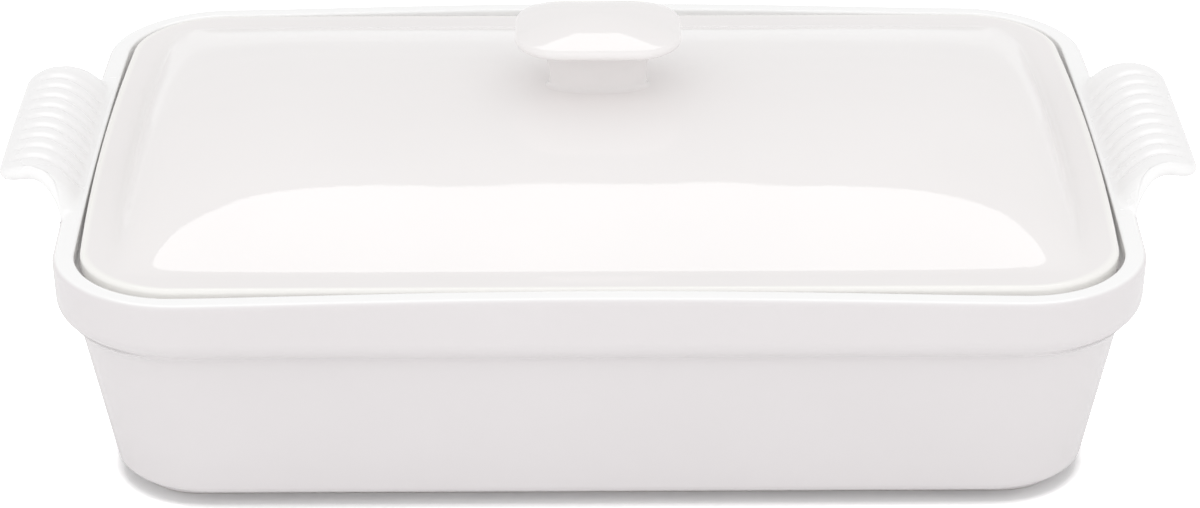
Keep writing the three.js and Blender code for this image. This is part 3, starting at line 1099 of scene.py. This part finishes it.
@dataclass
class LidKnob:
    """The knob: an oval stem that flares into the dome and carries a wide crowned cap."""

    lid: LidShell
    glaze: Glaze
    node: str = "lid_knob"
    stem: Plan = Plan(half_length=15.2, half_depth=6.0, corner=5.7, corner_run=14.4)
    flare: float = 1.3
    spread: float = 1.1
    cap_corner: float = 15.0
    crown: float = 4.6
    edge_round: float = 1.8
    under_round: float = 1.6
    under_rise: float = 5.0
    sunk: float = 0.5
    core_share: float = 0.9
    lift: float = 0.03
    fillet_steps: int = 8
    side_steps: int = 4
    under_steps: int = 14
    edge_steps: int = 12
    crown_steps: int = 20
    steps: Perimeter = Perimeter(corner_steps=20, long_steps=16, short_steps=10)
    cap: Plan = field(init=False)
    top: float = field(init=False)

    def __post_init__(self) -> None:
        """Takes the cap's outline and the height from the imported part."""
        _, high = cad_box(self.node)
        self.cap = Plan(high.x, high.y, self.cap_corner)
        self.top = high.z

    def foot(self) -> Plan:
        """Outline of the fillet where the stem meets the dome."""
        grow = self.flare
        stem = self.stem
        return Plan(
            stem.half_length + grow, stem.half_depth + grow, stem.corner + grow, stem.run() + grow
        )

    def cap_ring(self, inset: float) -> Plan:
        """Outline of the cap this far inside its widest place."""
        return self.cap.inset(inset, self.cap_corner - inset)

    def build(self) -> bpy.types.Object:
        """Makes the knob on the dome."""
        loft = RingLoft(self.steps.count())
        self.raise_stem(loft)
        self.round_cap(loft)
        loft.close()
        piece = loft.piece("knob", [self.glaze.material()])
        settle(piece, Body.LID, self.node)
        return piece

    def edge_sweep(self) -> float:
        """Angle of the edge's round, from upright to the slope at which the crown starts."""
        reach = (self.cap.half_length + self.cap.half_depth) / 2 - self.edge_round
        return QUARTER_TURN - math.atan2(2 * self.crown, reach)

    def widest(self) -> float:
        """Height at which the cap is widest."""
        return self.top - self.crown - self.edge_round * math.sin(self.edge_sweep())

    def raise_stem(self, loft: RingLoft) -> None:
        """Adds the stem's rings, from inside the dome to the cap's underside."""
        foot = self.foot()
        self.add_ring(loft, foot.scaled(self.core_share), -self.sunk)
        self.add_ring(loft, foot, -self.sunk)
        for angle in quarter_angles(self.fillet_steps):
            outline = foot.towards(self.stem, math.sin(angle))
            self.add_ring(loft, outline, self.lift + self.flare * (1 - math.cos(angle)))
        under = self.widest() - self.under_round
        turn = self.cap_ring(self.under_round)
        spread = self.spread / (turn.half_length - self.stem.half_length)
        stem_foot = self.lid.top() + self.lift + self.flare
        stem_head = under - self.under_rise
        for step in range(1, self.side_steps):
            share = step / self.side_steps
            outline = self.stem.towards(turn, spread * share**2)
            self.add_level(loft, outline, mix(stem_foot, stem_head, share))
        for angle in quarter_angles(self.under_steps):
            share = mix(spread, 1.0, 1 - math.cos(angle))
            height = under - self.under_rise * (1 - math.sin(angle))
            self.add_level(loft, self.stem.towards(turn, share), height)

    def round_cap(self, loft: RingLoft) -> None:
        """Adds the cap's rings, from its underside round the edge to the crown."""
        widest = self.widest()
        for angle in quarter_angles(self.edge_steps, 1):
            inset = self.under_round * (1 - math.sin(angle))
            self.add_level(loft, self.cap_ring(inset), widest - self.under_round * math.cos(angle))
        sweep = self.edge_sweep()
        for step in range(1, self.edge_steps + 1):
            angle = step / self.edge_steps * sweep
            inset = self.edge_round * (1 - math.cos(angle))
            self.add_level(loft, self.cap_ring(inset), widest + self.edge_round * math.sin(angle))
        crown = self.cap_ring(self.edge_round * (1 - math.cos(sweep)))
        for step in range(1, self.crown_steps):
            share = 1 - step / self.crown_steps
            height = self.top - self.crown * share**2
            self.add_level(loft, crown.scaled(share), height)

    def add_level(self, loft: RingLoft, outline: Plan, height: float) -> None:
        """Adds a ring at one height to the knob's loft."""
        loft.extend([Vector((x, y, height)) for x, y in self.steps.points(outline)])

    def add_ring(self, loft: RingLoft, outline: Plan, above: float) -> None:
        """Adds a ring that follows the dome, this far above it, to the knob's loft."""
        ring = self.steps.points(outline)
        loft.extend([Vector((x, y, self.lid.dome(x, y) + above)) for x, y in ring])


@dataclass(frozen=True)
class Softbox:
    """A flat lamp, in metres, that faces a point over the middle of the dish.

    Attributes:
        name: Name of the lamp.
        place: Middle of the lamp.
        length: Its size along X.
        width: Its size across.
        radiance: Brightness of its face, where 1 is white.
        target: What it faces.
        lights: Whether it lights the scene, or only shows in the gloss as a white card does.
    """

    name: str
    place: tuple[float, float, float]
    length: float
    width: float
    radiance: float
    target: tuple[float, float, float] = (0.0, 0.0, 0.09)
    lights: bool = True

    def build(self) -> None:
        """Hangs the lamp, unseen by the camera."""
        light = bpy.data.lights.new(self.name, "AREA")
        light.shape = "RECTANGLE"
        light.size = self.length
        light.size_y = self.width
        light.energy = self.radiance * math.pi * self.length * self.width
        lamp = bpy.data.objects.new(self.name, light)
        lamp.location = self.place
        aim = Vector(self.target) - lamp.location
        lamp.rotation_euler = aim.to_track_quat("-Z", "Y").to_euler()
        lamp.visible_camera = False
        lamp.visible_diffuse = self.lights
        bpy.context.scene.collection.objects.link(lamp)


@dataclass
class Studio:
    """White floor and surroundings, a white card behind the dish and a softbox in front."""

    floor_size: float = 12.0
    floor_level: float = 0.96
    floor_shown: float = 2.0
    painted_shadow_reach: float = 0.007
    painted_shadow_level: float = 0.85
    painted_shadow_span: tuple[float, float] = (0.5, 1.0)
    sky_level: float = 0.95
    horizon_reflected: float = 0.85
    zenith_reflected: float = 0.35
    card: Softbox = Softbox(
        "card", (0.0, 0.568, 1.383), length=1.3, width=0.51, radiance=1.9, lights=False
    )
    front: Softbox = Softbox("front", (0.0, -2.0, 1.9), length=4.4, width=2.4, radiance=0.42)

    def build(self) -> None:
        """Makes the floor, the surroundings and the lamps."""
        self.lay_floor()
        self.paint_surroundings()
        self.card.build()
        self.front.build()
        bpy.context.scene.view_settings.view_transform = "Standard"

    def lay_floor(self) -> None:
        """Makes the floor, which shows white to the camera but keeps the shadow, and has a painted
        contact shadow, from ambient occlusion, close to the dish.
        """
        mesh = bmesh.new()
        bmesh.ops.create_grid(mesh, x_segments=1, y_segments=1, size=self.floor_size / 2)
        data = bpy.data.meshes.new("floor")
        mesh.to_mesh(data)
        mesh.free()
        bench = NodeBench("floor_paper")
        seen = bench.add("ShaderNodeLightPath").outputs["Is Camera Ray"]
        # Painted shadow: ambient occlusion darkens the floor's colour close to the dish.
        painted_shadow = bench.add("ShaderNodeAmbientOcclusion")
        painted_shadow.inputs["Distance"].default_value = self.painted_shadow_reach
        shades = (*self.painted_shadow_span, self.painted_shadow_level, self.floor_shown)
        shown = bench.spread(painted_shadow.outputs["AO"], shades)
        level = bench.add("ShaderNodeMix")
        bench.link(seen, level.inputs["Factor"])
        level.inputs["A"].default_value = self.floor_level
        bench.link(shown, level.inputs["B"])
        bench.link(level.outputs["Result"], bench.shader.inputs["Base Color"])
        bench.shader.inputs["Roughness"].default_value = 1.0
        bench.shader.inputs["Specular IOR Level"].default_value = 0.0
        data.materials.append(bench.material)
        floor = bpy.data.objects.new("floor", data)
        bpy.context.scene.collection.objects.link(floor)

    def paint_surroundings(self) -> None:
        """Makes the world white to the camera, pale in reflections and a plain light."""
        world = bpy.data.worlds.new("studio")
        world.use_nodes = True
        nodes = world.node_tree.nodes
        links = world.node_tree.links
        path = nodes.new("ShaderNodeLightPath")
        split = nodes.new("ShaderNodeSeparateXYZ")
        links.new(nodes.new("ShaderNodeTexCoord").outputs["Generated"], split.inputs["Vector"])
        reflected = nodes.new("ShaderNodeMapRange")
        reflected.inputs["To Min"].default_value = self.horizon_reflected
        reflected.inputs["To Max"].default_value = self.zenith_reflected
        links.new(split.outputs["Z"], reflected.inputs["Value"])
        level: Socket | float = self.sky_level
        for ray, strength in (
            ("Is Glossy Ray", reflected.outputs["Result"]),
            ("Is Camera Ray", 1.0),
        ):
            pick = nodes.new("ShaderNodeMix")
            links.new(path.outputs[ray], pick.inputs["Factor"])
            for socket, value in (("A", level), ("B", strength)):
                if isinstance(value, float):
                    pick.inputs[socket].default_value = value
                else:
                    links.new(value, pick.inputs[socket])
            level = pick.outputs["Result"]
        sky = nodes["Background"]
        sky.inputs["Color"].default_value = (1.0, 1.0, 1.0, 1.0)
        links.new(level, sky.inputs["Strength"])
        bpy.context.scene.world = world


@dataclass
class PhotoCamera:
    """The camera at the photograph's place and angle."""

    position: tuple[float, float, float] = (-0.00902, -1.04552, 0.54874)
    yaw: float = 0.0093
    pitch_degrees: float = 26.13
    roll: float = 0.00055
    lens: float = 108.98
    sensor: float = 36.0

    def build(self) -> None:
        """Makes the camera and gives it to the scene."""
        data = bpy.data.cameras.new("photo_camera")
        data.lens = self.lens
        data.sensor_width = self.sensor
        data.sensor_fit = "HORIZONTAL"
        made = bpy.data.objects.new("photo_camera", data)
        pitch = math.radians(self.pitch_degrees)
        turn = (
            Matrix.Rotation(-self.yaw, 4, "Z")
            @ Matrix.Rotation(QUARTER_TURN - pitch, 4, "X")
            @ Matrix.Rotation(self.roll, 4, "Z")
        )
        made.matrix_world = Matrix.Translation(self.position) @ turn
        bpy.context.scene.collection.objects.link(made)
        bpy.context.scene.camera = made


def main() -> None:
    """Builds the dish, its handles, the lid, the knob and the studio."""
    logging.basicConfig(level=logging.INFO, format="%(name)s: %(message)s")
    # The dish and the lid wear one white glaze; these are shaded and lit copies of it: the dish's
    # darker as painted shade on its walls, the lid's lighter as painted light on its top.
    dish_glaze = Glaze(
        "dish_glaze",
        colour=(0.77, 0.741, 0.748),
        cloud=(0.756, 0.727, 0.733),
        hollow_shade=(0.761, 0.732, 0.731),
        painted_light=(0.96, 0.957, 0.955),
    )
    lid_glaze = replace(
        dish_glaze,
        name="lid_glaze",
        colour=(0.88, 0.855, 0.85),
        cloud=(0.865, 0.84, 0.835),
        hollow_shade=(0.86, 0.835, 0.825),
        painted_light=(0.94, 0.93, 0.9),
    )
    handle_glaze = replace(dish_glaze, smooth=0.18, dull=0.3)
    clay = BareClay("bare_clay", colour=(0.72, 0.66, 0.57), grit=(0.55, 0.48, 0.4))
    dish = DishBody(dish_glaze, clay)
    dish.build()
    for end in End:
        Handle(dish, end, replace(handle_glaze, name=f"handle_glaze_{end.name.lower()}")).build()
    lid = LidShell(lid_glaze)
    knob = LidKnob(lid, replace(lid_glaze, name="knob_glaze"))
    lid.build(knob.stem)
    knob.build()
    Studio().build()
    PhotoCamera().build()


if __name__ == "__main__":
    main()
